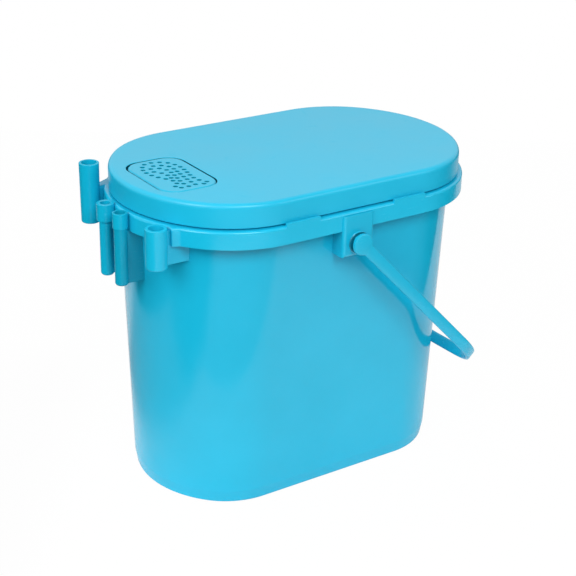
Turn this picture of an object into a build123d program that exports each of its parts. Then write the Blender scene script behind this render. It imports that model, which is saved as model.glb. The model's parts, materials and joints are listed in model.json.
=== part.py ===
import os
from math import acos, atan, atan2, cos, degrees, hypot, radians, sin, sqrt, tan

from build123d import *

# Aerated bait bucket, millimetres. The origin is the centre of the base, +Z is up, the long axis is X.
# The holder tubes stand at the -X end and the bail hangs round the +X end.

# ---- driving dimensions ----
overall_height = 279.0
lid_half_width = 100.0
lid_half_length = 157.6
corner_centre_y = 16.9       # the plan's corner arcs are centred this far from the long axis
tip_over_corner = 24.9       # the end arc's radius is this much larger than a corner arc's

lid_skirt_height = 19.9
lid_plate = 2.8
lid_skirt = 2.6
lid_edge_radius = 4.4
lid_seat_gap = 0.3           # between the lid's underside and the lip
lip_play = 0.8               # between the lip and the lid's skirt
lip_wall = 2.4
lip_edge_radius = 0.7

step_side = 4.0              # how far the wall stands in from the lip at its top, on the long sides
step_end = 4.2               # the same at the ends
wall_taper_side = 11.0       # how far the wall leans in from the step to the foot
wall_taper_end = 8.0
foot_height = 11.0
foot_taper_side = 2.0
foot_taper_end = 1.8
foot_edge_radius = 0.8
tub_wall = 2.6
wall_root = 0.5              # how far lugs and webs are let into the wall at their foot
floor_thickness = 3.2
floor_corner = 2.0

band_stand_out = 3.9         # how far the rim band stands out past the lid's skirt
band_gap = 1.3               # from the band's top to the lid's skirt
band_height = 15.0
band_wall = 2.4
band_edge_radius = 2.2
nose_gap = 2.6               # from the short tube's wall to the end of the band's nose beside it
nose_seat = 0.9              # what the tall tube keeps of its wall where the other nose is let in
nose_inner_side = 4.0        # from a wide tube's axis to its nose's inner flank
short_nose_side = 4.2        # from the axis to the outer flank, at the nose's end
tall_nose_side = 4.6
short_nose_flare = 24.0      # degrees between the outer flank and the long axis
tall_nose_flare = 28.0
nose_root = 30.0             # from a wide tube's axis to its nose's root, inside the band
nose_corner = 1.2
nose_fillet = 5.0
plan_tolerance = 0.001
catch_overlap = 1.2          # how far a catch rises past the skirt's bottom edge
catch_centre_x = 52.6
catch_length = 32.0
catch_wall = 2.0

hatch_from_end = 15.9        # from the lid's end to the hatch's opening
hatch_centre_y = -3.7
hatch_width = 52.8           # the opening along X
hatch_depth = 80.6           # the opening along Y
hatch_corner = 16.0
hatch_gap = 1.0              # all round the hatch
hatch_finger_gap = 0.7       # more than that at the side that opens
hatch_plate = 2.2
hatch_rib_depth = 5.0
hatch_rib = 1.8
hatch_bevel = 1.0
hatch_frame_wall = 2.0
hatch_frame_depth = 8.0
hatch_stop = 2.0             # how far the stop ledge reaches in under the hatch
hatch_stop_gap = 0.3
hinge_inset = 12.0           # from the hatch's inner edge to its hinge line
hinge_depth = 1.8            # from the lid's top to the hinge line
hinge_pin_radius = 0.9
hinge_pin_grip = 2.8         # how far each pin goes into the hatch
hinge_play = 0.06
hinge_ear_width = 4.4
hinge_ear_wall = 1.0         # beyond the pin's inner end
vent_radius = 2.1

pivot_drop = 11.2            # from the rim band to the bail's axis
pivot_pin_radius = 4.0
pivot_play = 0.08
pivot_end_gap = 0.4          # between the eye's hub and the boss, and behind the pin's head
pivot_seat_wall = 1.6        # what the eye leaves closed over the pin
pivot_head_radius = 6.0
pivot_head_height = 1.8
pivot_head_bevel = 0.6
lug_stand_out = 2.5          # from the rim band to the lug's face
lug_half_width = 15.1
lug_below_pivot = 11.6
lug_wall = 1.3
lug_below_band_top = 2.0     # from the rim band's top to the lug's top
lug_corner = 3.0
boss_radius = 9.6
boss_height = 1.0
boss_bevel = 0.6

bail_past_lid = 59.4         # how far the bow reaches past the lid's end when it is level
bail_corner_radius = 49.0
bail_bow_radius = 480.0
bail_rest_gap = 0.6          # between the hanging bow and the end wall
strap_width = 10.4
strap_thickness = 3.6
eye_radius = 9.3
eye_bevel = 1.0
hub_radius = 6.2
hub_height = 2.6

tube_above_band = 1.3        # from the rim band's top to the slim and short tubes' tops
web_thickness = 3.0
web_slot_gap = 0.5           # between a wide tube's web and the slot in the rim band's nose
web_slot_reach = 9.6         # along X, centred on the nose's end
slim_tube_y = 12.7
slim_tube_length = 62.5
slim_tube_radius = 5.5
slim_tube_bore = 4.3
slim_tube_end_radius = 2.4
slim_tube_floor = 2.0
slim_web_rise = 0.6          # from the tube's foot to its web
far_collar_wall = 1.8
near_collar_wall = 0.7
collar_edge_radius = 0.3
far_collar_height = 14.4
near_collar_height = 12.8

wide_tube_from_side = 42.8   # from the lid's side to the axis of the tall and short tubes
wide_tube_past_band = 13.2   # from the rim band's end arc, beside the axis, to the axis
wide_tube_floor = 2.4
wide_tube_foot_radius = 1.2
wide_tube_lip_radius = 0.5
tall_tube_below_lid = 0.3    # from the lid's top to the tall tube's top
tall_tube_length = 52.0
tall_tube_radius = 8.45
tall_tube_taper = 0.45
tall_tube_bore = 6.4
tall_web_rise = 4.3
short_tube_length = 33.2
short_tube_radius = 8.8
short_tube_bore = 6.0
short_web_rise = 0.9

# ---- heights and places that follow ----
lid_skirt_bottom_z = overall_height - lid_skirt_height
lip_top_z = overall_height - lid_plate - lid_seat_gap
lip_inset = lid_skirt + lip_play
band_top_z = lid_skirt_bottom_z - band_gap
band_bottom_z = band_top_z - band_height
step_z = band_top_z - band_wall
wall_top = (lid_half_width - lip_inset - step_side, lid_half_length - lip_inset - step_end)
wall_foot = (wall_top[0] - wall_taper_side, wall_top[1] - wall_taper_end)
base_plan = (wall_foot[0] - foot_taper_side, wall_foot[1] - foot_taper_end)

hatch_centre = (hatch_from_end + hatch_width / 2 - lid_half_length, hatch_centre_y)
hatch_rib_z = overall_height - hatch_rib_depth
hatch_frame_z = overall_height - hatch_frame_depth
hinge_x = hatch_centre[0] + hatch_width / 2 - hatch_gap - hinge_inset
hinge_z = overall_height - hinge_depth
hatch_corner_x = hatch_centre[0] + hatch_width / 2 - hatch_corner
hinge_ear_length = 2 * (hinge_pin_grip + hinge_ear_wall)     # its outer half ends at the hatch's edge

pivot_z = band_bottom_z - pivot_drop
lug_bottom_z = pivot_z - lug_below_pivot
lug_height = band_top_z - lug_below_band_top - lug_bottom_z
lug_face_y = lid_half_width + band_stand_out + lug_stand_out
hub_end_y = lug_face_y + boss_height + pivot_end_gap
bail_outer_y = hub_end_y + hub_height + strap_thickness
bail_reach = lid_half_length + bail_past_lid

tube_top_z = band_top_z + tube_above_band
slim_tube_x = -(lid_half_length + band_stand_out + slim_tube_radius)
slim_tube_bottom_z = tube_top_z - slim_tube_length
wide_tube_y = lid_half_width - wide_tube_from_side
tall_tube_top_z = overall_height - tall_tube_below_lid
tall_tube_bottom_z = tall_tube_top_z - tall_tube_length
short_tube_bottom_z = tube_top_z - short_tube_length


# ---- the plan, shared by every ring of the bucket ----
def outline(half_width, half_length):
    """Straight sides, a corner arc in each quarter and a wider arc at each end."""
    corner_radius = half_width - corner_centre_y
    tip_radius = corner_radius + tip_over_corner
    tip_x = half_length - tip_radius
    corner_x = tip_x + sqrt(tip_over_corner**2 - corner_centre_y**2)
    lean = degrees(atan2(corner_centre_y, corner_x - tip_x))
    with BuildSketch() as plan:
        with BuildLine():
            for side in (1, -1):
                Line((-corner_x, side * half_width), (corner_x, side * half_width))
                CenterArc((side * tip_x, 0), tip_radius, 90 - 90 * side - lean, 2 * lean)
            for quarter, (x_side, y_side) in enumerate([(1, 1), (-1, 1), (-1, -1), (1, -1)]):
                start = 90 * quarter + (lean if quarter % 2 == 0 else 0)
                CenterArc((x_side * corner_x, y_side * corner_centre_y), corner_radius, start, 90 - lean)
        make_face()
    return plan.sketch


def lid_outline(outset):
    return outline(lid_half_width + outset, lid_half_length + outset)


def end_x(half_width, half_length, y):
    """X of the plan's end arc at a distance y from the long axis."""
    tip_radius = half_width - corner_centre_y + tip_over_corner
    return half_length - tip_radius + sqrt(tip_radius**2 - y**2)


def wall_plan(z):
    """Half width and half length of the tub's outer wall at a height."""
    rise = (z - foot_height) / (step_z - foot_height)
    return (wall_foot[0] + rise * wall_taper_side, wall_foot[1] + rise * wall_taper_end)


def inner_plan(z):
    half_width, half_length = wall_plan(z)
    return (half_width - tub_wall, half_length - tub_wall)


def hinge_end_y(inset):
    """From the hatch's centre line to its outline, measured along the hinge line."""
    past_corner = max(hinge_x - hatch_corner_x, 0)
    return hatch_depth / 2 - hatch_corner + sqrt((hatch_corner - inset) ** 2 - past_corner**2)


def hatch_outline(inset, finger_gap=0):
    """The hatch's opening, or with its finger gap the hatch itself."""
    with BuildSketch() as plan:
        with Locations((hatch_centre[0] + finger_gap / 2, hatch_centre_y)):
            width = hatch_width - 2 * inset - finger_gap
            RectangleRounded(width, hatch_depth - 2 * inset, hatch_corner - inset)
    return plan.sketch


wide_tube_x = -end_x(lid_half_width + band_stand_out, lid_half_length + band_stand_out, wide_tube_y)
wide_tube_x -= wide_tube_past_band
short_nose_x = wide_tube_x + short_tube_radius + nose_gap
tall_nose_x = wide_tube_x + tall_tube_bore + nose_seat
nose_root_x = wide_tube_x + nose_root

os.makedirs("parts", exist_ok=True)

# ---- tub: foot band, leaning wall, step, and the lip that goes up inside the lid ----
with BuildPart() as tub:
    with BuildSketch():
        add(outline(*base_plan))
    with BuildSketch(Plane.XY.offset(foot_height)):
        add(outline(*wall_foot))
    loft(ruled=True)
    with BuildSketch(Plane.XY.offset(foot_height)):
        add(outline(*wall_foot))
    with BuildSketch(Plane.XY.offset(step_z)):
        add(outline(*wall_top))
    loft(ruled=True)
    with BuildSketch(Plane.XY.offset(step_z)):
        add(lid_outline(-lip_inset))
    extrude(amount=lip_top_z - step_z)
    with BuildSketch(Plane.XY.offset(floor_thickness)):
        add(outline(*inner_plan(floor_thickness)))
    with BuildSketch(Plane.XY.offset(band_top_z)):
        add(outline(*inner_plan(band_top_z)))
    loft(ruled=True, mode=Mode.SUBTRACT)
    with BuildSketch(Plane.XY.offset(band_top_z)):
        add(lid_outline(-lip_inset - lip_wall))
    extrude(amount=lip_top_z - band_top_z, mode=Mode.SUBTRACT)
    fillet(tub.edges().filter_by_position(Axis.Z, floor_thickness, floor_thickness), floor_corner)
    fillet(tub.edges().group_by(Axis.Z)[0], foot_edge_radius)
    fillet(tub.edges().group_by(Axis.Z)[-1], lip_edge_radius)
tub.part.label = "tub"
export_step(tub.part, "parts/tub.step")

# ---- rim band: ledge and skirt round the lip, two lid catches on each long side, a nose at each wide tube ----
def nose_flank_y(nose_x, outer_side, flare, x):
    """How far a nose's flared outer flank is from the long axis at x."""
    return wide_tube_y + outer_side + (x - nose_x) * tan(radians(flare))


def nose_plan(side, nose_x, outer_side, flare, inset):
    """A nose's plan: square to the long axis at its end and on its inner flank, flared on its outer flank."""
    with BuildSketch() as plan:
        with BuildLine():
            Polyline(
                (nose_x, side * (wide_tube_y - nose_inner_side)),
                (nose_x, side * (wide_tube_y + outer_side)),
                (nose_root_x, side * nose_flank_y(nose_x, outer_side, flare, nose_root_x)),
                (nose_root_x, side * (wide_tube_y - nose_inner_side)),
                close=True,
            )
        make_face()
        if inset:
            offset(amount=-inset, kind=Kind.INTERSECTION, mode=Mode.REPLACE)
    return plan.sketch


def nose_flank_ends(plan, side, nose_x, outer_side, flare):
    """The corners of a plan on a nose's outer flank: the nose's own, and its root where it meets the band."""
    on_flank = [
        corner for corner in plan.vertices()
        if abs(side * corner.Y - nose_flank_y(nose_x, outer_side, flare, corner.X)) < plan_tolerance
    ]
    return ShapeList(on_flank).sort_by(Axis.X)


short_nose = (-1, short_nose_x, short_nose_side, short_nose_flare)
tall_nose = (1, tall_nose_x, tall_nose_side, tall_nose_flare)
with BuildPart() as rim_band:
    with BuildSketch(Plane.XY.offset(band_bottom_z)) as band_plan:
        add(lid_outline(band_stand_out))
        for nose in (short_nose, tall_nose):
            add(nose_plan(*nose, 0))
        for nose in (short_nose, tall_nose):
            fillet(nose_flank_ends(band_plan, *nose)[-1], nose_fillet)
        fillet(nose_flank_ends(band_plan, *short_nose)[0], nose_corner)
    extrude(amount=band_height)
    fillet(rim_band.edges().group_by(Axis.Z)[-1], band_edge_radius)
    with BuildSketch(Plane.XY.offset(band_bottom_z)):
        add(lid_outline(band_stand_out - band_wall))
        for nose in (short_nose, tall_nose):
            add(nose_plan(*nose, band_wall))
    extrude(amount=band_height - band_wall, mode=Mode.SUBTRACT)
    with BuildSketch(Plane.XY.offset(step_z)):
        add(lid_outline(-lip_inset))
    extrude(amount=band_wall, mode=Mode.SUBTRACT)
    for side in (1, -1):
        catch_y = side * (lid_half_width + band_stand_out - catch_wall / 2)
        with BuildSketch(Plane.XY.offset(step_z)):
            with Locations((catch_centre_x, catch_y), (-catch_centre_x, catch_y)):
                Rectangle(catch_length, catch_wall)
        extrude(amount=lid_skirt_bottom_z + catch_overlap - step_z)
    with BuildSketch(Plane.XY.offset(band_bottom_z)):
        with Locations((short_nose_x, -wide_tube_y)):
            Rectangle(web_slot_reach, web_thickness + 2 * web_slot_gap)
    extrude(amount=band_height - band_wall, mode=Mode.SUBTRACT)
rim_band.part.label = "rim_band"
export_step(rim_band.part, "parts/rim_band.step")


# ---- bail lugs: a pocket open at the top, with a boss that carries the pivot ----
def bail_lug(side):
    back_y = wall_plan(lug_bottom_z)[0] - wall_root
    hole_radius = pivot_pin_radius + pivot_play
    boss_plane = Plane((0, side * (lug_face_y + boss_height), pivot_z), (1, 0, 0), (0, -side, 0))
    with BuildPart() as lug:
        with BuildSketch(Plane.XY.offset(lug_bottom_z)):
            with Locations((0, side * (lug_face_y + back_y) / 2)):
                Rectangle(2 * lug_half_width, lug_face_y - back_y)
        extrude(amount=lug_height)
        front = lug.faces().sort_by(Axis.Y)[-1 if side > 0 else 0]
        fillet(front.edges().filter_by(Axis.Z) + front.edges().group_by(Axis.Z)[0], lug_corner)
        with BuildSketch(Plane.XY.offset(lug_bottom_z + lug_wall)):
            with Locations((0, side * (lug_face_y - lug_wall + back_y) / 2)):
                Rectangle(2 * (lug_half_width - lug_wall), lug_face_y - lug_wall - back_y)
        extrude(amount=lug_height, mode=Mode.SUBTRACT)
        with BuildSketch(boss_plane):
            Circle(boss_radius)
        extrude(amount=boss_height)
        boss_face = lug.faces().sort_by(Axis.Y)[-1 if side > 0 else 0]
        chamfer(boss_face.edges(), boss_bevel)
        with BuildSketch(boss_plane):
            Circle(hole_radius)
        extrude(amount=boss_height + lug_wall, mode=Mode.SUBTRACT)
        add(tub.part, mode=Mode.SUBTRACT)
        add(rim_band.part, mode=Mode.SUBTRACT)
    return lug.part


for place, side in (("front", -1), ("rear", 1)):
    lug = bail_lug(side)
    lug.label = f"{place}_bail_lug"
    export_step(lug, f"parts/{place}_bail_lug.step")

# ---- bail: a flat strap bent in one plane, which hangs until its bow lies on the end wall ----
bow_inside = hypot(bail_reach - strap_thickness, strap_width / 2)
wall_lean = wall_taper_end / (step_z - foot_height)
wall_at_pivot = wall_plan(pivot_z)[1] + bail_rest_gap
bow_drop = atan(wall_lean) + acos(wall_at_pivot / (bow_inside * hypot(1, wall_lean)))
bail_hang = bow_drop - atan2(strap_width / 2, bail_reach - strap_thickness)
bail_plane = Plane(
    origin=(0, 0, pivot_z),
    x_dir=(cos(bail_hang), 0, -sin(bail_hang)),
    z_dir=(sin(bail_hang), 0, cos(bail_hang)),
)


def strap_edge(inset):
    """One face of the strap, in the bail's plane: an arm and a corner arc on each side, and the bow."""
    corner_y = bail_outer_y - bail_corner_radius
    bow_over_corner = bail_bow_radius - bail_corner_radius
    turn = degrees(acos(corner_y / bow_over_corner))
    bow_centre = bail_reach - bail_bow_radius
    arm_end = bow_centre + bow_over_corner * sin(radians(turn))
    for side in (1, -1):
        Line((0, side * (bail_outer_y - inset)), (arm_end, side * (bail_outer_y - inset)))
        start = 90 - turn if side > 0 else -90
        CenterArc((arm_end, side * corner_y), bail_corner_radius - inset, start, turn)
    CenterArc((bow_centre, 0), bail_bow_radius - inset, turn - 90, 2 * (90 - turn))


def eye_plane(side):
    return Plane((0, side * bail_outer_y, pivot_z), (1, 0, 0), (0, -side, 0))


def bail_eye(side):
    with BuildPart() as eye:
        with BuildSketch(eye_plane(side)):
            Circle(eye_radius)
        extrude(amount=strap_thickness)
        chamfer(eye.faces().sort_by(Axis.Y)[-1 if side > 0 else 0].edges(), eye_bevel)
        with BuildSketch(eye_plane(side)):
            Circle(hub_radius)
        extrude(amount=strap_thickness + hub_height)
    return eye.part


with BuildPart() as bail:
    with BuildSketch(bail_plane):
        with BuildLine():
            strap_edge(0)
            strap_edge(strap_thickness)
            for side in (1, -1):
                Line((0, side * bail_outer_y), (0, side * (bail_outer_y - strap_thickness)))
        make_face()
    extrude(amount=strap_width / 2, both=True)
    for side in (1, -1):
        add(bail_eye(side))
        with BuildSketch(eye_plane(side).offset(pivot_seat_wall)):
            Circle(pivot_pin_radius)
        extrude(amount=strap_thickness + hub_height - pivot_seat_wall, mode=Mode.SUBTRACT)
bail.part.label = "bail"
export_step(bail.part, "parts/bail.step")


# ---- bail pivot pins: set in the eyes, turning in the lugs, kept by a head inside the pocket ----
def bail_pin(side):
    pin_plane = eye_plane(side).offset(pivot_seat_wall)
    shaft_length = bail_outer_y - pivot_seat_wall - lug_face_y + lug_wall + pivot_end_gap
    with BuildPart() as pin:
        with BuildSketch(pin_plane):
            Circle(pivot_pin_radius)
        extrude(amount=shaft_length)
        with BuildSketch(pin_plane.offset(shaft_length)):
            Circle(pivot_head_radius)
        extrude(amount=pivot_head_height)
        chamfer(pin.faces().sort_by(Axis.Y)[0 if side > 0 else -1].edges(), pivot_head_bevel)
    return pin.part


for place, side in (("front", -1), ("rear", 1)):
    pin = bail_pin(side)
    pin.label = f"{place}_bail_pin"
    export_step(pin, f"parts/{place}_bail_pin.step")


# ---- slim holder tubes: closed at the foot, on a web to the tub's end, each in a collar on the band ----
def web_plan(tube_x, y, bottom_z):
    """A web's plan: from the tube's axis into the tub's wall, along X."""
    wall_x = wall_root - end_x(*wall_plan(bottom_z), y)
    with BuildSketch() as plan:
        with Locations(((tube_x + wall_x) / 2, y)):
            Rectangle(wall_x - tube_x, web_thickness)
    return plan.sketch


def slim_tube(y):
    web_bottom_z = slim_tube_bottom_z + slim_web_rise
    with BuildPart() as tube:
        with BuildSketch(Plane.XY.offset(slim_tube_bottom_z)):
            with Locations((slim_tube_x, y)):
                Circle(slim_tube_radius)
        extrude(amount=slim_tube_length)
        fillet(tube.edges().group_by(Axis.Z)[0], slim_tube_end_radius)
        with BuildSketch(Plane.XY.offset(web_bottom_z)):
            add(web_plan(slim_tube_x, y, web_bottom_z))
        extrude(amount=band_bottom_z - web_bottom_z)
        with BuildSketch(Plane.XY.offset(slim_tube_bottom_z + slim_tube_floor)):
            with Locations((slim_tube_x, y)):
                Circle(slim_tube_bore)
        extrude(amount=slim_tube_length - slim_tube_floor, mode=Mode.SUBTRACT)
        add(tub.part, mode=Mode.SUBTRACT)
    return tube.part


def slim_collar(y, height, wall):
    with BuildPart() as collar:
        with BuildSketch(Plane.XY.offset(tube_top_z - height)):
            with Locations((slim_tube_x, y)):
                Circle(slim_tube_radius + wall)
        extrude(amount=height)
        fillet(collar.edges().group_by(Axis.Z)[-1], collar_edge_radius)
        with BuildSketch(Plane.XY.offset(tube_top_z - height)):
            with Locations((slim_tube_x, y)):
                Circle(slim_tube_radius)
        extrude(amount=height, mode=Mode.SUBTRACT)
        add(rim_band.part, mode=Mode.SUBTRACT)
    return collar.part


for place, y, collar_height, collar_wall in (
    ("far", slim_tube_y, far_collar_height, far_collar_wall),
    ("near", -slim_tube_y, near_collar_height, near_collar_wall),
):
    tube = slim_tube(y)
    tube.label = f"{place}_slim_tube"
    export_step(tube, f"parts/{place}_slim_tube.step")
    collar = slim_collar(y, collar_height, collar_wall)
    collar.label = f"{place}_slim_collar"
    export_step(collar, f"parts/{place}_slim_collar.step")

# ---- tall holder tube: narrower at the foot, on a web, with a nose of the rim band let into its side ----
with BuildPart() as tall_tube:
    with BuildSketch(Plane.XY.offset(tall_tube_bottom_z)):
        with Locations((wide_tube_x, wide_tube_y)):
            Circle(tall_tube_radius - tall_tube_taper)
    with BuildSketch(Plane.XY.offset(tall_tube_top_z)):
        with Locations((wide_tube_x, wide_tube_y)):
            Circle(tall_tube_radius)
    loft(ruled=True)
    fillet(tall_tube.edges().group_by(Axis.Z)[0], wide_tube_foot_radius)
    fillet(tall_tube.edges().group_by(Axis.Z)[-1], wide_tube_lip_radius)
    tall_web_z = tall_tube_bottom_z + tall_web_rise
    with BuildSketch(Plane.XY.offset(tall_web_z)):
        add(web_plan(wide_tube_x, wide_tube_y, tall_web_z))
    extrude(amount=step_z - tall_web_z)
    with BuildSketch(Plane.XY.offset(tall_tube_bottom_z + wide_tube_floor)):
        with Locations((wide_tube_x, wide_tube_y)):
            Circle(tall_tube_bore)
    extrude(amount=tall_tube_length - wide_tube_floor, mode=Mode.SUBTRACT)
    add(tub.part, mode=Mode.SUBTRACT)
    add(rim_band.part, mode=Mode.SUBTRACT)
tall_tube.part.label = "tall_holder_tube"
export_step(tall_tube.part, "parts/tall_holder_tube.step")

# ---- short holder tube: its web goes through the slot in the rim band's nose ----
with BuildPart() as short_tube:
    with BuildSketch(Plane.XY.offset(short_tube_bottom_z)):
        with Locations((wide_tube_x, -wide_tube_y)):
            Circle(short_tube_radius)
    extrude(amount=short_tube_length)
    fillet(short_tube.edges().group_by(Axis.Z)[0], wide_tube_foot_radius)
    fillet(short_tube.edges().group_by(Axis.Z)[-1], wide_tube_lip_radius)
    short_web_z = short_tube_bottom_z + short_web_rise
    with BuildSketch(Plane.XY.offset(short_web_z)):
        add(web_plan(wide_tube_x, -wide_tube_y, short_web_z))
    extrude(amount=step_z - short_web_z)
    with BuildSketch(Plane.XY.offset(short_tube_bottom_z + wide_tube_floor)):
        with Locations((wide_tube_x, -wide_tube_y)):
            Circle(short_tube_bore)
    extrude(amount=short_tube_length - wide_tube_floor, mode=Mode.SUBTRACT)
    add(tub.part, mode=Mode.SUBTRACT)
short_tube.part.label = "short_holder_tube"
export_step(short_tube.part, "parts/short_holder_tube.step")

# ---- the hatch's hinge line ----
hinge_plane = Plane((hinge_x, hatch_centre_y, hinge_z), (1, 0, 0), (0, 1, 0))


def pin_plane(side):
    """Across the hinge line at a pin's inner end, facing outwards."""
    inner_y = hatch_centre_y + side * (hinge_end_y(hatch_gap) - hinge_pin_grip)
    return Plane((hinge_x, inner_y, hinge_z), (1, 0, 0), (0, side, 0))


# ---- lid: a flat plate with a skirt, and a framed opening with a stop ledge for the hatch ----
with BuildPart() as lid:
    with BuildSketch(Plane.XY.offset(lid_skirt_bottom_z)):
        add(lid_outline(0))
    extrude(amount=lid_skirt_height)
    fillet(lid.edges().group_by(Axis.Z)[-1], lid_edge_radius)
    with BuildSketch(Plane.XY.offset(lid_skirt_bottom_z)):
        add(lid_outline(-lid_skirt))
    extrude(amount=lid_skirt_height - lid_plate, mode=Mode.SUBTRACT)
    with BuildSketch(Plane.XY.offset(hatch_frame_z)):
        add(hatch_outline(-hatch_frame_wall))
    extrude(amount=hatch_frame_depth - lid_plate)
    with BuildSketch(Plane.XY.offset(hatch_frame_z)):
        add(hatch_outline(0))
    extrude(amount=hatch_frame_depth, mode=Mode.SUBTRACT)
    with BuildSketch(Plane.XY.offset(hatch_frame_z)):
        add(hatch_outline(0))
        add(hatch_outline(hatch_gap + hatch_stop), mode=Mode.SUBTRACT)
        with Locations((hatch_centre[0] - hatch_width / 2, hatch_centre_y)):
            Rectangle(hatch_width / 2, hatch_depth, mode=Mode.INTERSECT)
    extrude(amount=hatch_rib_z - hatch_stop_gap - hatch_frame_z)
    with BuildSketch(hinge_plane):
        Circle(hinge_pin_radius)
    extrude(amount=hinge_end_y(-hatch_frame_wall), both=True, mode=Mode.SUBTRACT)
lid.part.label = "lid"
export_step(lid.part, "parts/lid.step")

# ---- vent hatch: a thin plate on a rib, with two hinge ears and a fish of vent holes ----
# Each row of vents follows a curve from head to tail, in shares of the hatch's half width and half depth,
# then its count.
vent_rows = (
    (
        ((-0.019, 0.816), (0.439, 0.640), (0.587, 0.305),
         (0.466, -0.261), (0.481, -0.558), (0.621, -0.727)),
        11,
    ),
    (((-0.106, 0.618), (0.288, 0.462), (0.299, 0.109), (0.212, -0.397), (0.197, -0.752)), 10),
    (((-0.299, 0.486), (0.049, 0.360), (0.095, 0.149), (0.011, -0.223), (-0.057, -0.782)), 9),
    (((-0.280, 0.789), (-0.576, 0.464), (-0.447, -0.060), (-0.216, -0.382), (-0.413, -0.663)), 10),
    (((-0.345, 0.300), (-0.186, 0.149), (-0.152, -0.186)), 4),
    (((-0.311, -0.782), (0.447, -0.801)), 2),
)
with BuildPart() as vent_hatch:
    with BuildSketch(Plane.XY.offset(hatch_rib_z)):
        add(hatch_outline(hatch_gap, hatch_finger_gap))
    extrude(amount=hatch_rib_depth)
    chamfer(vent_hatch.edges().group_by(Axis.Z)[-1], hatch_bevel)
    with BuildSketch(Plane.XY.offset(hatch_rib_z)):
        add(hatch_outline(hatch_gap + hatch_rib, hatch_finger_gap))
        for side in (1, -1):
            with Locations((hinge_x, hatch_centre_y + side * hinge_end_y(hatch_gap))):
                Rectangle(hinge_ear_width, hinge_ear_length, mode=Mode.SUBTRACT)
    extrude(amount=hatch_rib_depth - hatch_plate, mode=Mode.SUBTRACT)
    vents = []
    for guide_shares, count in vent_rows:
        guide = Spline(*[(x * hatch_width / 2, y * hatch_depth / 2) for x, y in guide_shares])
        vents += [guide @ (step / (count - 1)) for step in range(count)]
    with BuildSketch(Plane.XY.offset(hatch_rib_z)):
        with Locations(*[(hatch_centre[0] + vent.X, hatch_centre_y + vent.Y) for vent in vents]):
            Circle(vent_radius)
    extrude(amount=hatch_rib_depth, mode=Mode.SUBTRACT)
    for side in (1, -1):
        with BuildSketch(pin_plane(side)):
            Circle(hinge_pin_radius + hinge_play)
        extrude(amount=hinge_pin_grip + hatch_gap, mode=Mode.SUBTRACT)
vent_hatch.part.label = "vent_hatch"
export_step(vent_hatch.part, "parts/vent_hatch.step")

# ---- hatch hinge pins: a short pin at each end, held in the lid and its frame, turning in the ear ----
for place, side in (("front", -1), ("rear", 1)):
    with BuildPart() as hinge_pin:
        with BuildSketch(pin_plane(side)):
            Circle(hinge_pin_radius)
        extrude(amount=hinge_end_y(-hatch_frame_wall) - hinge_end_y(hatch_gap) + hinge_pin_grip)
    hinge_pin.part.label = f"{place}_hatch_pin"
    export_step(hinge_pin.part, f"parts/{place}_hatch_pin.step")
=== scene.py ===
import json
import math
import bmesh
import bpy
import numpy as np
from mathutils import Matrix, Vector

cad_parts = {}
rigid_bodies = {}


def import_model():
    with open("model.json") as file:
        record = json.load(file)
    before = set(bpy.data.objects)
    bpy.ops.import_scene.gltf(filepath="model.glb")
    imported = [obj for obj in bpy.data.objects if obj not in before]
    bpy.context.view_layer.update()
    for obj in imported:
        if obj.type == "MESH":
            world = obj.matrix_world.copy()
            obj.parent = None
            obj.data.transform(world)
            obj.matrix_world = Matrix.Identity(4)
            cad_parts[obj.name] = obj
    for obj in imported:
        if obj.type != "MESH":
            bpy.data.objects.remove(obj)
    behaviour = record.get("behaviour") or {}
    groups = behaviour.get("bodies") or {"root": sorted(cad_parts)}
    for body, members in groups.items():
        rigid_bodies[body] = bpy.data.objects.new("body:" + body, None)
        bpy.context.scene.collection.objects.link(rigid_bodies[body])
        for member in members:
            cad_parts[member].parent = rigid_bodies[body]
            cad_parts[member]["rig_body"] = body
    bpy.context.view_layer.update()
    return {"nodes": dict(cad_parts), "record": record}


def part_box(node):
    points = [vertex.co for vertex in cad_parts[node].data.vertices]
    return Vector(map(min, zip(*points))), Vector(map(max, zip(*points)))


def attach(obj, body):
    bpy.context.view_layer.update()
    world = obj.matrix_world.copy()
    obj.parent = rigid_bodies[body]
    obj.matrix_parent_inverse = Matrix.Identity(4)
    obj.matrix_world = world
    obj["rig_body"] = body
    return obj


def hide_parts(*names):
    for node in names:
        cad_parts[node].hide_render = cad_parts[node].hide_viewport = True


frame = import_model()
scene = bpy.context.scene
print("frame loaded:", len(frame["nodes"]), "nodes")

# metres and degrees throughout; an azimuth of 0 is towards -Y and it grows towards +X
view = {
    "azimuth": -33.84, "elevation": 24.54, "distance": 1.2626, "lens": 88.33, "sensor": 36,
    "aimHeight": 0.1395, "turn": 0.138, "nod": 0.441, "roll": 1.144,
}


def compass(azimuth, elevation):
    # the unit vector from the bucket towards an azimuth and an elevation
    azimuth, elevation = math.radians(azimuth), math.radians(elevation)
    level = math.cos(elevation)
    return Vector((math.sin(azimuth) * level, -math.cos(azimuth) * level, math.sin(elevation)))


def aimCamera():
    # the camera looks at a point on the bucket's axis, then turns right, nods up and rolls a little
    turn, nod, roll = [math.radians(view[key]) for key in ("turn", "nod", "roll")]
    back = compass(view["azimuth"], view["elevation"])
    right = (-back).cross(Vector((0, 0, 1))).normalized()
    up = right.cross(-back)
    forward = (-back * math.cos(turn) + right * math.sin(turn)) * math.cos(nod) + up * math.sin(nod)
    side = forward.cross(up).normalized()
    top = side.cross(forward)
    sideRolled = side * math.cos(roll) + top * math.sin(roll)
    topRolled = top * math.cos(roll) - side * math.sin(roll)
    placed = Matrix((sideRolled, topRolled, -forward)).transposed().to_4x4()
    placed.translation = Vector((0, 0, view["aimHeight"])) + back * view["distance"]
    data = bpy.data.cameras.new("bucketCamera")
    data.lens = view["lens"]
    data.sensor_width = view["sensor"]
    camera = bpy.data.objects.new("bucketCamera", data)
    scene.collection.objects.link(camera)
    camera.matrix_world = placed
    scene.camera = camera


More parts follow.
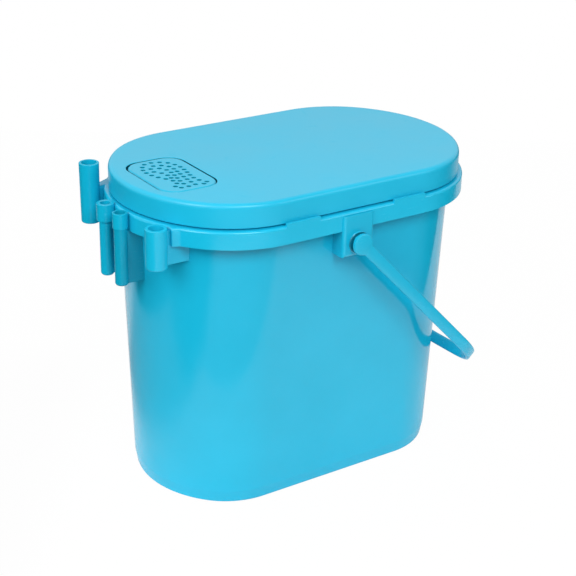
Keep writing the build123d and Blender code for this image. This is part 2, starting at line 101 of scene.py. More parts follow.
# short ways to wire a shader tree
def setInputs(tree, node, inputs):
    # each input, by name or number, gets a plain value or a link from another node's output
    for key, value in inputs.items():
        if isinstance(value, bpy.types.NodeSocket):
            tree.links.new(value, node.inputs[key])
        else:
            node.inputs[key].default_value = value


def addNode(tree, kind, inputs=None, **settings):
    node = tree.nodes.new(kind)
    for key, value in settings.items():
        setattr(node, key, value)
    setInputs(tree, node, inputs or {})
    return node


def combine(tree, operation, *values):
    # one sum, product or comparison of values
    return addNode(tree, "ShaderNodeMath", dict(enumerate(values)), operation=operation).outputs[0]


def remap(tree, value, start, end, low=0, high=1, **settings):
    # low where the value is start, high where it is end, even steps between, and held outside them
    ends = {"From Min": start, "From Max": end, "To Min": low, "To Max": high}
    return addNode(tree, "ShaderNodeMapRange", {"Value": value, **ends}, **settings).outputs[0]


def remapAlong(tree, vector, direction, start, end, low=0, high=1):
    # the same for how far a vector reaches in a direction, with a smooth step
    along = addNode(tree, "ShaderNodeVectorMath", {0: vector, 1: direction}, operation="DOT_PRODUCT")
    return remap(tree, along.outputs["Value"], start, end, low, high, interpolation_type="SMOOTHSTEP")


def noise(tree, place, settings):
    return addNode(tree, "ShaderNodeTexNoise", {"Vector": place, **settings}).outputs["Fac"]


def tint(tree, level, stops):
    # the colour between two stops, each a position and a colour
    ramp = addNode(tree, "ShaderNodeValToRGB", {0: level})
    for element, (position, colour) in zip(ramp.color_ramp.elements, stops):
        element.position = position
        element.color = (*colour, 1)
    return ramp.outputs["Color"]


def cameraSees(tree, other, seen, share=1):
    # the camera gets a share of the second shader, and every other ray gets the first
    ray = addNode(tree, "ShaderNodeLightPath").outputs["Is Camera Ray"]
    factor = combine(tree, "MULTIPLY", ray, share)
    return addNode(tree, "ShaderNodeMixShader", {0: factor, 1: other, 2: seen}).outputs[0]


# the pale room that the plastic reflects. A glow has its direction, the start and end of its fade (1 is dead
# on), and its brightness outside and inside
room = {
    "atHorizon": 0.42, "overhead": 0.24, "horizonFade": 0.05, "backdrop": 1.0, "white": (1, 1, 1, 1),
    "behind": ((0.51, 0.76, 0.42), 0.30, 0.80, 0.0, 0.50),
    "left": ((-0.93, 0.10, 0.35), 0.30, 0.95, 0.0, 0.62),
    "below": ((0.35, -0.93, -0.30), 0.60, 0.95, 0.02, 0.30),
}


def lightRoom():
    # the glows behind and at the left add to the room above the horizon, and the one below stands alone
    world = bpy.data.worlds.new("paleRoom")
    scene.world = world
    world.use_nodes = True
    tree = world.node_tree
    tree.nodes.clear()
    ray = addNode(tree, "ShaderNodeTexCoord").outputs["Generated"]
    height = addNode(tree, "ShaderNodeSeparateXYZ", {0: ray}).outputs["Z"]

    def glow(name):
        direction, *fade = room[name]
        return remapAlong(tree, ray, Vector(direction).normalized(), *fade)

    above = remap(tree, height, 0, 1, room["atHorizon"], room["overhead"])
    for name in ("behind", "left"):
        above = combine(tree, "ADD", above, glow(name))
    horizon = remap(tree, height, -room["horizonFade"], room["horizonFade"])
    level = addNode(tree, "ShaderNodeMix", {0: horizon, 2: glow("below"), 3: above}).outputs[0]
    lit, seen = [
        addNode(tree, "ShaderNodeBackground", {"Color": room["white"], "Strength": strength}).outputs[0]
        for strength in (level, room["backdrop"])
    ]
    addNode(tree, "ShaderNodeOutputWorld", {"Surface": cameraSees(tree, lit, seen)})
    scene.view_settings.view_transform = "Standard"


lamps = {
    "size": 0.65, "distance": 1.7, "aimHeight": 0.15,
    "places": ((-70, 34, 9.4), (-14, 42, 12.6), (35, 24, 3.3)),  # azimuth, elevation and power
}


def hangLamps():
    # square lamps on a sphere round the middle of the bucket, each facing it
    for azimuth, elevation, power in lamps["places"]:
        light = bpy.data.lights.new("softKey", "AREA")
        light.energy = power
        light.size = lamps["size"]
        lamp = bpy.data.objects.new("softKey", light)
        scene.collection.objects.link(lamp)
        towards = compass(azimuth, elevation)
        lamp.location = Vector((0, 0, lamps["aimHeight"])) + towards * lamps["distance"]
        lamp.rotation_euler = (-towards).to_track_quat("-Z", "Y").to_euler()


sheet = {
    "white": 0.93, "glow": 0.98, "roughness": 0.9, "shine": 0.1,
    # how far each corner is towards the camera, and how far to its right
    "corners": (
        (0.85, -0.43), (0.85, 0.80), (0.33, 0.80), (0.30, 0.45), (-0.07, 0.41), (-0.30, 0.53), (-0.90, 0.90),
        (-0.90, -0.90), (-0.30, -0.55), (-0.07, -0.43),
    ),
    # darker areas of painted shade on the sheet: each has two directions with the start and end of their
    # fades, and how much darker it is
    "shades": (
        (("near", 0.29, 0.31), ("far", -0.62, -0.57), 0.50),
        (("left", 0.16, 0.24), ("near", -0.20, -0.10), 0.58),
        (("left", 0.17, 0.26), ("near", 0.19, 0.28), 0.85),
    ),
}


def layFloor():
    # a pale sheet under the bucket, which the camera sees as nearly even white
    near = np.array(compass(view["azimuth"], 0)[:2])
    right = np.array((-near[1], near[0]))
    directions = {"near": near, "far": -near, "left": -right}
    corners = [near * depth + right * side for depth, side in sheet["corners"]]
    mesh = bpy.data.meshes.new("floorSheet")
    mesh.from_pydata([(*corner, 0) for corner in corners], [], [tuple(range(len(corners)))])
    mesh.update()
    floor = bpy.data.objects.new("floorSheet", mesh)
    scene.collection.objects.link(floor)
    paper = bpy.data.materials.new("paleSheet")
    paper.use_nodes = True
    tree = paper.node_tree
    place = addNode(tree, "ShaderNodeTexCoord").outputs["Object"]
    level = sheet["white"]
    for first, second, depth in sheet["shades"]:
        # painted shade: the level so far, times 1 - depth where both fades are full
        fades = [remapAlong(tree, place, (*directions[name], 0), *fade) for name, *fade in (first, second)]
        kept = remap(tree, combine(tree, "MULTIPLY", *fades), 0, 1, 1, 1 - depth)
        level = combine(tree, "MULTIPLY", level, kept)
    shader = tree.nodes["Principled BSDF"]
    setInputs(tree, shader, {
        "Base Color": level, "Roughness": sheet["roughness"], "Specular IOR Level": sheet["shine"]})
    glow = addNode(tree, "ShaderNodeEmission", {"Color": room["white"], "Strength": 1.0})
    shown = cameraSees(tree, shader.outputs[0], glow.outputs[0], sheet["glow"])
    setInputs(tree, tree.nodes["Material Output"], {"Surface": shown})
    mesh.materials.append(paper)


aimCamera()
lightRoom()
hangLamps()
layFloor()
print("studio ready")

# painted shade in the hatch's groove and vents: how far it spreads, how deep it goes, and the unshaded edge
# at the top
hatchLow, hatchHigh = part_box("vent_hatch")
groove = {"spread": 0.0025, "depth": 0.01, "unshadedEdge": 0.0003}
hatchShadeBox = [
    (hatchLow.x - groove["spread"], hatchHigh.x + groove["spread"]),
    (hatchLow.y - groove["spread"], hatchHigh.y + groove["spread"]),
    (hatchLow.z - groove["depth"], hatchHigh.z - groove["unshadedEdge"]),
]

# a lug's wall, how proud its boss stands, the unshaded edge at its top, the skin round the boss's foot, and
# the air in front of it
lug = {"wall": 0.0012, "boss": 0.0010, "unshadedEdge": 0.0004, "skin": 0.0002, "air": 0.001}


def lugShade(node):
    # boxes of painted shade: the pocket behind the lug's face, and the boss in the shadow of the bail's eye
    low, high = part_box(node)
    side = 1 if low.y + high.y > 0 else -1
    back, face = sorted((abs(low.y), abs(high.y)))
    bossFoot = face - lug["boss"]
    pocket = sorted((side * back, side * (bossFoot - lug["wall"])))
    front = sorted((side * (bossFoot + lug["skin"]), side * (face + lug["air"])))
    across = (low.x + lug["wall"], high.x - lug["wall"])
    return [[across, pocket, (low.z, high.z - lug["unshadedEdge"])], [across, front, (low.z, high.z)]]


# what all the mouldings share
mould = {
    "ior": 1.47,
    "cloud": {"Scale": 14.0, "Detail": 3.0, "Roughness": 0.55},
    "grain": {"Scale": 900.0, "Detail": 2.0, "Roughness": 0.6},
    "sink": {"Scale": 22.0, "Detail": 1.0, "Roughness": 0.4},
    "scuff": {"Scale": 60.0, "Detail": 4.0, "Roughness": 0.7, "Distortion": 0.4},
    "scuffRun": {"Scale": (1.0, 1.0, 14.0), "Rotation": (0.3, 0.5, 0.2)},
    "pigmentFade": (0.32, 0.70), "pigmentDeep": 0.975, "pigmentPale": 1.02,
    "glossFade": (0.3, 0.7), "glossSpread": 0.12, "scuffFade": (0.60, 0.78), "scuffDull": 0.10,
    "sinkHeight": 0.0012, "grainHeight": 0.00008, "paintedShadeFade": (0.75, 0.45),
}
# a plastic's usual shine, the haze on its pale pigment, and how strong its grain and its sink waves are
usual = {"shine": 0.5, "haze": 0.003, "grain": 0.08, "wave": 0.04}
plastics = {
    "tub_plastic": {"colour": (0.006, 0.450, 0.672), "gloss": 0.11, "grain": 0.04},
    "band_plastic": {"colour": (0.006, 0.480, 0.712), "gloss": 0.22},
    # the lid round the hatch's opening, and the hatch's edges and vent walls, get painted shade
    "lid_plastic": {"colour": (0.006, 0.472, 0.702), "gloss": 0.34, "grain": 0.12, "wave": 0.03,
                    "paintedShade": 0.20, "paintedShadeBoxes": [hatchShadeBox]},
    "hatch_plastic": {"colour": (0.006, 0.465, 0.692), "gloss": 0.34, "grain": 0.12, "wave": 0.03,
                      "paintedShade": 0.55, "paintedShadeBoxes": [hatchShadeBox]},
    # painted shade: the tubes and collars darker than the tub, and the near slim tube darker still
    "shaded_tube_plastic": {"colour": (0.005, 0.430, 0.635), "gloss": 0.25, "shine": 0.2, "haze": 0.0},
    "near_tube_shade_painted_plastic": {"colour": (0.004, 0.350, 0.515), "gloss": 0.25, "shine": 0.2, "haze": 0.0},
    "bail_plastic": {"colour": (0.006, 0.450, 0.672), "gloss": 0.25},
}
# the lugs take the tub's plastic with painted shade in the pocket and round the boss
for side in ("front", "rear"):
    plastics[side + "_lug_plastic"] = {**plastics["tub_plastic"], "gloss": 0.2, "paintedShade": 0.35,
                                       "paintedShadeBoxes": lugShade(side + "_bail_lug")}


def shadeWalls(tree, place, colour, box, depth):
    # painted shade: the colour times depth on the upright walls inside a box. The share is how upright the
    # face is, times 1 where each coordinate is within half the box's size of its middle and 0 elsewhere
    normal = addNode(tree, "ShaderNodeSeparateXYZ", {0: place.outputs["Normal"]})
    where = addNode(tree, "ShaderNodeSeparateXYZ", {0: place.outputs["Object"]})
    share = remap(tree, combine(tree, "ABSOLUTE", normal.outputs["Z"]), *mould["paintedShadeFade"])
    for axis, (low, high) in zip("XYZ", box):
        inside = combine(tree, "COMPARE", where.outputs[axis], (low + high) / 2, (high - low) / 2)
        share = combine(tree, "MULTIPLY", share, inside)
    paintedShade = {0: share, 6: colour, 7: (depth, depth, depth, 1)}
    return addNode(tree, "ShaderNodeMix", paintedShade, data_type="RGBA", blend_type="MULTIPLY").outputs[2]


def mouldedPlastic(name, finish):
    # injection-moulded plastic: cloudy pigment, soft sink waves, fine grain, hairline scuffs and painted
    # shade
    finish = {**usual, **finish}
    material = bpy.data.materials.new(name)
    material.use_nodes = True
    tree = material.node_tree
    place = addNode(tree, "ShaderNodeTexCoord")
    spot = place.outputs["Object"]
    cloud, grain, sink = [noise(tree, spot, mould[key]) for key in ("cloud", "grain", "sink")]
    run = addNode(tree, "ShaderNodeMapping", {"Vector": spot, **mould["scuffRun"]})
    scuff = noise(tree, run.outputs[0], mould["scuff"])
    deep = tuple(value * mould["pigmentDeep"] for value in finish["colour"])
    pale = tuple(value * mould["pigmentPale"] + finish["haze"] for value in finish["colour"])
    colour = tint(tree, cloud, zip(mould["pigmentFade"], (deep, pale)))
    # painted shade on the upright walls inside each box
    for box in finish.get("paintedShadeBoxes", ()):
        colour = shadeWalls(tree, place, colour, box, finish["paintedShade"])
    gloss, spread = finish["gloss"], mould["glossSpread"]
    dull = remap(tree, cloud, *mould["glossFade"], gloss * (1 - spread), gloss * (1 + spread))
    marks = remap(tree, scuff, *mould["scuffFade"], 0, mould["scuffDull"])
    waves = addNode(tree, "ShaderNodeBump", {
        "Height": sink, "Strength": finish["wave"], "Distance": mould["sinkHeight"]})
    bumps = addNode(tree, "ShaderNodeBump", {
        "Height": grain, "Strength": finish["grain"], "Distance": mould["grainHeight"],
        "Normal": waves.outputs[0]})
    setInputs(tree, tree.nodes["Principled BSDF"], {
        "Base Color": colour, "Roughness": combine(tree, "ADD", dull, marks), "Normal": bumps.outputs[0],
        "IOR": mould["ior"], "Specular IOR Level": finish["shine"]})
    return material


steel = {
    "run": {"Scale": (400.0, 40.0, 400.0)}, "lines": {"Scale": 6.0, "Detail": 3.0},
    "tints": ((0, (0.42, 0.42, 0.44)), (1, (0.66, 0.66, 0.67))), "roughness": (0.25, 0.45),
    "strength": 0.2, "height": 0.00005,
}


def brushedSteel(name):
    # fine lines along the pins, in the tint, the roughness and the bumps
    material = bpy.data.materials.new(name)
    material.use_nodes = True
    tree = material.node_tree
    place = addNode(tree, "ShaderNodeTexCoord").outputs["Object"]
    run = addNode(tree, "ShaderNodeMapping", {"Vector": place, **steel["run"]})
    lines = noise(tree, run.outputs[0], steel["lines"])
    bumps = addNode(tree, "ShaderNodeBump", {
        "Height": lines, "Strength": steel["strength"], "Distance": steel["height"]})
    setInputs(tree, tree.nodes["Principled BSDF"], {
        "Base Color": tint(tree, lines, steel["tints"]), "Metallic": 1.0,
        "Roughness": remap(tree, lines, 0, 1, *steel["roughness"]), "Normal": bumps.outputs[0]})
    return material


finishes = {name: mouldedPlastic(name, finish) for name, finish in plastics.items()}
finishes["hinge_steel"] = brushedSteel("hinge_steel")
print("finishes ready")

slotOf = {entry["node"]: entry["material_slot"] for entry in frame["record"]["subparts"]}
# nodes whose finish isn't simply their slot's
ownFinish = {
    # painted shade in the tubes' and collars' darker colours, and painted light in the short tube's lighter
    # one
    "near_slim_tube": "near_tube_shade_painted_plastic", "far_slim_tube": "shaded_tube_plastic",
    "near_slim_collar": "shaded_tube_plastic", "far_slim_collar": "shaded_tube_plastic",
    "tall_holder_tube": "shaded_tube_plastic", "short_holder_tube": "band_plastic",
    # the hatch and the lugs take finishes with painted shade on their recessed walls
    "vent_hatch": "hatch_plastic",
    "front_bail_lug": "front_lug_plastic", "rear_bail_lug": "rear_lug_plastic",
}
welding = {"points": 1e-6, "slivers": 1e-7}  # points this close become one, and edges this short go


def finishPiece(piece, node, angle):
    # smooth faces with sharp edges past an angle, the node's finish, and the node's place in the assembly
    slot = slotOf[node]
    piece.data.materials.clear()
    piece.data.materials.append(finishes[ownFinish.get(node, slot)])
    piece.data.polygons.foreach_set("use_smooth", np.ones(len(piece.data.polygons), bool))
    piece.data.set_sharp_from_angle(angle=math.radians(angle))
    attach(piece, frame["nodes"][node]["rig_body"])
    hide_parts(node)


def buildPiece(name, shells, node, angle):
    # closed shells put into one mesh, with doubles merged and all faces turned outwards
    points, faces, count = [], [], 0
    for shellPoints, shellFaces in shells:
        points.append(shellPoints)
        faces += [[index + count for index in face] for face in shellFaces]
        count += len(shellPoints)
    data = bpy.data.meshes.new(name)
    data.from_pydata(np.concatenate(points).tolist(), [], faces)
    shape = bmesh.new()
    shape.from_mesh(data)
    bmesh.ops.remove_doubles(shape, verts=shape.verts, dist=welding["points"])
    bmesh.ops.dissolve_degenerate(shape, edges=shape.edges, dist=welding["points"])
    bmesh.ops.recalc_face_normals(shape, faces=shape.faces)
    shape.to_mesh(data)
    shape.free()
    piece = bpy.data.objects.new(name, data)
    scene.collection.objects.link(piece)
    finishPiece(piece, node, angle)


def softProfile(points, radii, steps, hold=0.0004):
    # each corner of a line becomes the quadratic curve (1-t)^2*start + 2t(1-t)*corner + t^2*end, where start
    # and end lie one radius from the corner; a point just before and after it keeps the flats beside it flat
    points = np.asarray(points, float)
    radii = np.asarray(radii, float)[:, None]
    before, after = np.roll(points, 1, 0), np.roll(points, -1, 0)
    towardsBefore = (before - points) / np.linalg.norm(before - points, axis=1, keepdims=True)
    towardsAfter = (after - points) / np.linalg.norm(after - points, axis=1, keepdims=True)
    start, end = points + towardsBefore * radii, points + towardsAfter * radii
    t = np.linspace(0, 1, steps)[None, :, None]
    curve = (1 - t) ** 2 * start[:, None] + 2 * t * (1 - t) * points[:, None] + t ** 2 * end[:, None]
    held = np.concatenate(
        [(start + towardsBefore * hold)[:, None], curve, (end + towardsAfter * hold)[:, None]], 1)
    return np.concatenate([points[:1], held[1:-1].reshape(-1, points.shape[1]), points[-1:]])


def shell(grid, wrapRows=False):
    # a grid of points as one closed surface: the quad at row r and column c reaches row r+1 and column c+1,
    # the columns always close, and the rows close too or end in flat caps
    rows, columns = grid.shape[:2]
    row = np.arange(rows if wrapRows else rows - 1)[:, None]
    column = np.arange(columns)[None, :]
    start, nextStart, nextColumn = row * columns, (row + 1) % rows * columns, (column + 1) % columns
    corners = (start + column, start + nextColumn, nextStart + nextColumn, nextStart + column)
    faces = np.stack(np.broadcast_arrays(*corners), -1).reshape(-1, 4).tolist()
    if not wrapRows:
        faces += [list(range(columns)), list(range((rows - 1) * columns, rows * columns))]
    return grid.reshape(-1, 3), faces


def atHeights(loops, heights):
    # flat loops lifted to their heights, one height for each row
    heights = np.broadcast_to(np.asarray(heights, float)[:, None, None], (*loops.shape[:2], 1))
    return np.concatenate([loops, heights], -1)


def quarterArcs(steps):
    # the angles of four quarter turns in a row, and the signs of the corner that each angle belongs to
    arc = np.linspace(0, math.pi / 2, steps)
    angles = np.concatenate([arc + quarter * math.pi / 2 for quarter in range(4)])
    return angles, np.array([(1, 1), (-1, 1), (-1, -1), (1, -1)]).repeat(steps, 0)


# the plan that the tub and the lid share: how far the corner arcs' centres lie from the long axis and from
# the tip arcs' centres, and how many points each stretch has
plan = {"cornerCentre": 0.0169, "tipOver": 0.0249, "tipSteps": 18, "cornerSteps": 22, "sideSteps": 10}


def planLoops(halfWidth, halfLength, finer=1):
    # a quarter of the plan is a tip arc about (tipX, 0), then a smaller corner arc about
    # (cornerX, cornerCentre), then a straight side; the other quarters are its mirror images. There is one
    # loop for each half width and half length
    halfWidth, halfLength = np.atleast_1d(halfWidth)[:, None], np.atleast_1d(halfLength)[:, None]
    centre, over = plan["cornerCentre"], plan["tipOver"]
    lean = math.asin(centre / over)
    cornerRadius = halfWidth - centre
    tipRadius = cornerRadius + over
    tipX = halfLength - tipRadius
    cornerX = tipX + math.sqrt(over ** 2 - centre ** 2)
    tip = np.linspace(0, lean, plan["tipSteps"] * finer, endpoint=False)[None]
    corner = np.linspace(lean, math.pi / 2, plan["cornerSteps"] * finer, endpoint=False)[None]
    side = np.linspace(1, 0, plan["sideSteps"] * finer + 1)[None]
    x = np.hstack([tipX + tipRadius * np.cos(tip), cornerX + cornerRadius * np.cos(corner), cornerX * side])
    y = np.hstack([tipRadius * np.sin(tip), centre + cornerRadius * np.sin(corner), halfWidth + 0 * side])
    angle = np.hstack([tip[0], corner[0], np.full(side.shape[1], math.pi / 2)])
    normalX = np.broadcast_to(np.cos(angle), x.shape)
    normalY = np.broadcast_to(np.sin(angle), x.shape)

    def around(values, mirrorX, mirrorY):
        ahead, back = values[:, :-1], values[:, :0:-1]
        return np.hstack([ahead, mirrorX * back, mirrorX * mirrorY * ahead, mirrorY * back])

    loops = np.stack([around(x, -1, 1), around(y, 1, -1)], -1)
    normals = np.stack([around(normalX, -1, 1), around(normalY, 1, -1)], -1)
    return loops, normals


# the tub: foot band, leaning wall, step and lip, then the inside down to the floor. A pair ending in "In" is
# how far inside the lip a corner lies, across and along
tub = {
    "footHeight": 0.011, "footIn": (0.0150, 0.0122), "baseIn": (0.0170, 0.0140), "stepIn": (0.0040, 0.0042),
    "lipWall": 0.0024, "wall": 0.0026, "floor": 0.0032, "floorFlat": 0.02, "stepHeight": 0.2554,
    "ledgeTop": 0.2578, "ledgeFall": 0.0002, "panelIn": 0.009, "panelRise": 0.0008, "panelFlat": 0.001,
    "softSteps": 7, "sharpAngle": 60,
    "soft": {
        "panel": 0.0004, "base": 0.0012, "foot": 0.0006, "step": 0.0008, "lipFoot": 0.0005, "lip": 0.0007,
        "ledge": 0.0008, "ledgeInside": 0.0006, "floor": 0.002,
    },
}


def makeTub():
    # the plan's loop at each station of a soft profile of half width, half length and height
    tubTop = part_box("tub")[1]
    lip = np.array((tubTop.y, tubTop.x))
    base, foot, wallTop = (lip - tub[key] for key in ("baseIn", "footIn", "stepIn"))
    inner = lip - tub["lipWall"]
    panel = base - tub["panelIn"]
    lean = (wallTop - foot) / (tub["stepHeight"] - tub["footHeight"])
    soft = tub["soft"]

    def innerWall(height):
        return foot + lean * (height - tub["footHeight"]) - tub["wall"]

    corners = np.array([
        (*(panel - tub["panelFlat"]), tub["panelRise"], 0),
        (*panel, tub["panelRise"], soft["panel"]),
        (*(panel + tub["panelRise"]), 0, soft["panel"]),
        (*base, 0, soft["base"]),
        (*foot, tub["footHeight"], soft["foot"]),
        (*wallTop, tub["stepHeight"], soft["step"]),
        (*lip, tub["stepHeight"], soft["lipFoot"]),
        (*lip, tubTop.z, soft["lip"]),
        (*inner, tubTop.z, soft["lip"]),
        (*inner, tub["ledgeTop"], soft["ledge"]),
        (*innerWall(tub["ledgeTop"]), tub["ledgeTop"] - tub["ledgeFall"], soft["ledgeInside"]),
        (*innerWall(tub["floor"]), tub["floor"], soft["floor"]),
        (*(innerWall(tub["floor"]) - tub["floorFlat"]), tub["floor"], 0),
    ])
    stations = softProfile(corners[:, :3], corners[:, 3], tub["softSteps"])
    loops, _ = planLoops(stations[:, 0], stations[:, 1])
    buildPiece("moulded_tub", [shell(atHeights(loops, stations[:, 2]))], "tub", tub["sharpAngle"])


makeTub()
print("tub made")

# the lid: a plate with a rounded edge and a skirt, round a framed opening with a stop ledge
lid = {
    "edge": 0.0044, "skirt": 0.0026, "skirtEdge": 0.0005, "plate": 0.0028, "underFillet": 0.0012,
    "flat": 0.008, "edgeSteps": 9,
    "hatchGap": 0.0010, "fingerGap": 0.0007, "openingCorner": 0.016, "openingEdge": 0.0005,
    "openingFlat": 0.0025, "openingSteps": 12,
    "frameWall": 0.0020, "frameDepth": 0.0080, "frameEdge": 0.0004, "frameFlat": 0.001, "frameSteps": 5,
    "frameHold": 0.0002,
    "ledgeIn": 0.0030, "ledgeTop": 0.0053, "ledgeIntoFrame": 0.0006, "ledgeAboveFoot": 0.0002,
    "ledgeEvery": 12, "fineSteps": 400, "finer": 20, "rayDigits": 4, "sharpAngle": 60,
}


def seenFrom(centre, points, values, angles):
    # values of a loop where rays at these angles from a point inside it meet it
    seen = np.arctan2(points[:, 1] - centre[1], points[:, 0] - centre[0])
    return np.stack([np.interp(angles, seen, values[:, k], period=2 * math.pi) for k in range(2)], -1)


def openingLoop(steps):
    # the hatch's rectangle and its gap, with an arc at each corner: the arc's centre plus the radius along
    # the normal. The side that fingers reach has a wider gap
    low = np.array((hatchLow.x - lid["hatchGap"] - lid["fingerGap"], hatchLow.y - lid["hatchGap"]))
    high = np.array((hatchHigh.x, hatchHigh.y)) + lid["hatchGap"]
    angles, sides = quarterArcs(steps)
    normals = np.stack([np.cos(angles), np.sin(angles)], -1)
    reach = (high - low) / 2 - lid["openingCorner"]
    return (low + high) / 2 + sides * reach + normals * lid["openingCorner"], normals


def makeLid():
    # each ray from the hatch's middle meets the opening once and the outline once: the frame's section stands
    # on the first and the rim's section on the second, and the plate runs straight between them
    lidLow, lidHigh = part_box("lid")
    centre = np.array((hatchLow + hatchHigh)[:2]) / 2
    outer, _ = planLoops(lidHigh.y, lidHigh.x)
    opening, _ = openingLoop(lid["openingSteps"])
    fineOuter, fineOuterNormals = planLoops(lidHigh.y, lidHigh.x, lid["finer"])
    fineOpening, fineOpeningNormals = openingLoop(lid["fineSteps"])
    rays = np.concatenate([
        np.arctan2(loop[:, 1] - centre[1], loop[:, 0] - centre[0]) for loop in (outer[0], opening)])
    rays = np.unique(np.round(rays, lid["rayDigits"]))
    outerAt = seenFrom(centre, fineOuter[0], fineOuter[0], rays)
    outerOut = seenFrom(centre, fineOuter[0], fineOuterNormals[0], rays)
    openingAt = seenFrom(centre, fineOpening, fineOpening, rays)
    openingOut = seenFrom(centre, fineOpening, fineOpeningNormals, rays)
    outerOut /= np.linalg.norm(outerOut, axis=1, keepdims=True)
    openingOut /= np.linalg.norm(openingOut, axis=1, keepdims=True)
    # sections: how far outwards, and how high
    top, under, frameFoot = lidHigh.z, lidHigh.z - lid["plate"], lidHigh.z - lid["frameDepth"]
    rim = softProfile(
        [(-lid["flat"], top), (0, top), (0, lidLow.z), (-lid["skirt"], lidLow.z), (-lid["skirt"], under),
         (-lid["flat"], under)],
        [0, lid["edge"], lid["skirtEdge"], lid["skirtEdge"], lid["underFillet"], 0], lid["edgeSteps"])
    wall = lid["frameWall"]
    frameSection = softProfile(
        [(wall + lid["frameFlat"], under), (wall, under), (wall, frameFoot), (0, frameFoot), (0, top),
         (lid["openingFlat"], top)],
        [0, lid["frameEdge"], lid["frameEdge"], lid["frameEdge"], lid["openingEdge"], 0],
        lid["frameSteps"], lid["frameHold"])
    rimRows = outerAt[None] + outerOut[None] * rim[:, :1, None]
    frameRows = openingAt[None] + openingOut[None] * frameSection[:, :1, None]
    plate = np.concatenate([atHeights(frameRows, frameSection[:, 1]), atHeights(rimRows, rim[:, 1])])
    # the stop ledge: a strip along the opening's outer part, its foot and its back inside the frame
    outside = fineOpening[:, 0] < centre[0] - (hatchHigh.x - hatchLow.x) / 4
    strip, stripNormals = [loop[outside][::lid["ledgeEvery"]] for loop in (fineOpening, fineOpeningNormals)]
    ledgeFoot, ledgeTop = frameFoot + lid["ledgeAboveFoot"], top - lid["ledgeTop"]
    section = np.array([
        (lid["ledgeIntoFrame"], ledgeFoot), (lid["ledgeIntoFrame"], ledgeTop), (-lid["ledgeIn"], ledgeTop),
        (-lid["ledgeIn"], ledgeFoot)])
    ledge = atHeights(strip[None] + stripNormals[None] * section[:, :1, None], section[:, 1]).swapaxes(0, 1)
    buildPiece("moulded_lid", [shell(plate, wrapRows=True), shell(ledge)], "lid", lid["sharpAngle"])


makeLid()
print("lid made")

# the bail: a strap with a round eye at each end and a hub behind each eye
bail = {
    "reach": 0.217, "cornerRadius": 0.049, "bowRadius": 0.480, "thickness": 0.0036, "width": 0.0104,
    "edge": 0.0016, "edgeShare": 0.98, "edgeSteps": 5, "hang": 45.9, "sharpAngle": 50,
    "eyeRadius": 0.0093, "eyeFillet": 0.0045, "eyeTip": 1e-6,
    "discSteps": 40, "filletSteps": 7, "armStart": 0.0005, "armSteps": 20, "cornerSteps": 26, "bowSteps": 22,
    "hubRadius": 0.0062, "hubMiddle": 0.001, "hubGap": 0.0004, "hubEdge": 0.0004, "hubFoot": 0.0002,
    "hubSteps": 48, "hubEdgeSteps": 5, "hubHold": 0.0002,
}
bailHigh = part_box("bail")[1]
pinLow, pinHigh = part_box("front_bail_pin")
pivotHeight = (pinLow.z + pinHigh.z) / 2


def mirrored(values, sign=1):
    # the values from the front eye to the middle of the bow, then the same back to the rear eye
    return np.concatenate([values, sign * values[-2::-1]])


def strapLine():
    # the line of the strap's outer face: a straight arm, a corner arc, then half of the bow's arc. For each
    # point: how far it is from the pivots, its place across, the angle it faces and half the strap's width
    half, corner, bow = bail["width"] / 2, bail["cornerRadius"], bail["bowRadius"]
    eye, fillet = bail["eyeRadius"], bail["eyeFillet"]
    cornerY = bailHigh.y - corner
    bowCentre = bail["reach"] - bow
    turn = math.acos(cornerY / (bow - corner))
    armEnd = bowCentre + (bow - corner) * math.sin(turn)
    filletEnd = math.sqrt((eye + fillet) ** 2 - (half + fillet) ** 2)
    filletStart = filletEnd * eye / (eye + fillet)
    disc = -eye * np.cos(np.linspace(0, math.pi, bail["discSteps"] + 1)[:-1])
    arm = np.concatenate([
        disc[disc < filletStart], np.linspace(filletStart, filletEnd, bail["filletSteps"]),
        np.linspace(filletEnd + bail["armStart"], armEnd, bail["armSteps"])])
    cornerTurn = np.linspace(math.pi / 2, math.pi / 2 - turn, bail["cornerSteps"])[1:]
    bowTurn = np.linspace(math.pi / 2 - turn, 0, bail["bowSteps"])[1:]
    along = np.concatenate([arm, armEnd + corner * np.cos(cornerTurn), bowCentre + bow * np.cos(bowTurn)])
    across = np.concatenate([
        np.full(len(arm), bailHigh.y), cornerY + corner * np.sin(cornerTurn), bow * np.sin(bowTurn)])
    facing = np.concatenate([np.full(len(arm), math.pi / 2), cornerTurn, bowTurn])
    # half the width: the eye's disc, then a fillet, then the plain strap
    discHalf = np.sqrt(np.maximum(eye ** 2 - along ** 2, bail["eyeTip"] ** 2))
    filletHalf = half + fillet - np.sqrt(np.maximum(fillet ** 2 - (along - filletEnd) ** 2, 0))
    wide = np.where(along < filletStart, discHalf, np.where(along < filletEnd, filletHalf, half))
    return mirrored(along), mirrored(across, -1), mirrored(facing, -1), mirrored(wide)


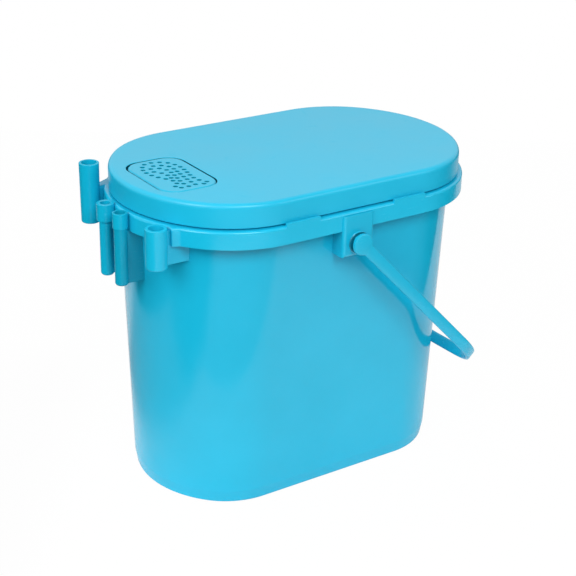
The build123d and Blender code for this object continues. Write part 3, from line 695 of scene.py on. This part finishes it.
def strap():
    # at each point of the line a rectangle with rounded corners, thickness by width; then the whole is turned
    # down about the pivots by the angle that it hangs at
    along, across, facing, wide = [values[:, None] for values in strapLine()]
    angles, sides = quarterArcs(bail["edgeSteps"])
    edge = np.minimum(bail["edge"], wide * bail["edgeShare"])
    halfThick = bail["thickness"] / 2
    depth = sides[None, :, 0] * (halfThick - edge) + np.cos(angles)[None] * edge - halfThick
    height = sides[None, :, 1] * (wide - edge) + np.sin(angles)[None] * edge
    outwards = along + np.cos(facing) * depth
    hang = math.radians(bail["hang"])
    return shell(np.stack([
        outwards * math.cos(hang) + height * math.sin(hang), across + np.sin(facing) * depth,
        pivotHeight - outwards * math.sin(hang) + height * math.cos(hang)], -1))


def hub(side):
    # each station's radius is turned about the pivots' axis, from inside the eye to just short of the lug
    start = bail["thickness"] / 2
    end = bailHigh.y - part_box("rear_bail_lug")[1].y - bail["hubGap"]
    middle, radius = bail["hubMiddle"], bail["hubRadius"]
    profile = softProfile(
        [(middle, start), (radius, start), (radius, end), (middle, end)],
        [0, bail["hubFoot"], bail["hubEdge"], 0], bail["hubEdgeSteps"], bail["hubHold"])
    reach, travel = profile[:, :1], profile[:, 1:]
    turn = np.linspace(0, 2 * math.pi, bail["hubSteps"], endpoint=False)[None]
    across = side * (bailHigh.y - travel) + 0 * turn
    return shell(np.stack([reach * np.cos(turn), across, pivotHeight + reach * np.sin(turn)], -1))


buildPiece("bail_strap", [strap(), hub(1), hub(-1)], "bail", bail["sharpAngle"])
print("bail made")

# the other nodes: how wide the eased edges are, past which angle an edge is one, and how flat a face is
dressing = {"ease": 0.0003, "segments": 2, "angle": 35, "flat": 0.5}


def dressNode(node):
    # a welded copy of the node's mesh, with eased edges
    data = frame["nodes"][node].data.copy()
    shape = bmesh.new()
    shape.from_mesh(data)
    bmesh.ops.remove_doubles(shape, verts=shape.verts, dist=welding["points"])
    bmesh.ops.dissolve_degenerate(shape, edges=shape.edges, dist=welding["slivers"])
    bmesh.ops.dissolve_limit(
        shape, angle_limit=math.radians(dressing["flat"]), verts=shape.verts, edges=shape.edges)
    shape.to_mesh(data)
    shape.free()
    piece = bpy.data.objects.new(node + "_dressed", data)
    scene.collection.objects.link(piece)
    finishPiece(piece, node, dressing["angle"])
    bevel = piece.modifiers.new("easedEdges", "BEVEL")
    bevel.width = dressing["ease"]
    bevel.segments = dressing["segments"]
    bevel.limit_method = "ANGLE"
    bevel.angle_limit = math.radians(dressing["angle"])
    weigh = piece.modifiers.new("evenShading", "WEIGHTED_NORMAL")
    weigh.keep_sharp = True


for node in sorted(frame["nodes"]):
    if node not in ("tub", "lid", "bail"):
        dressNode(node)
print("nodes dressed")
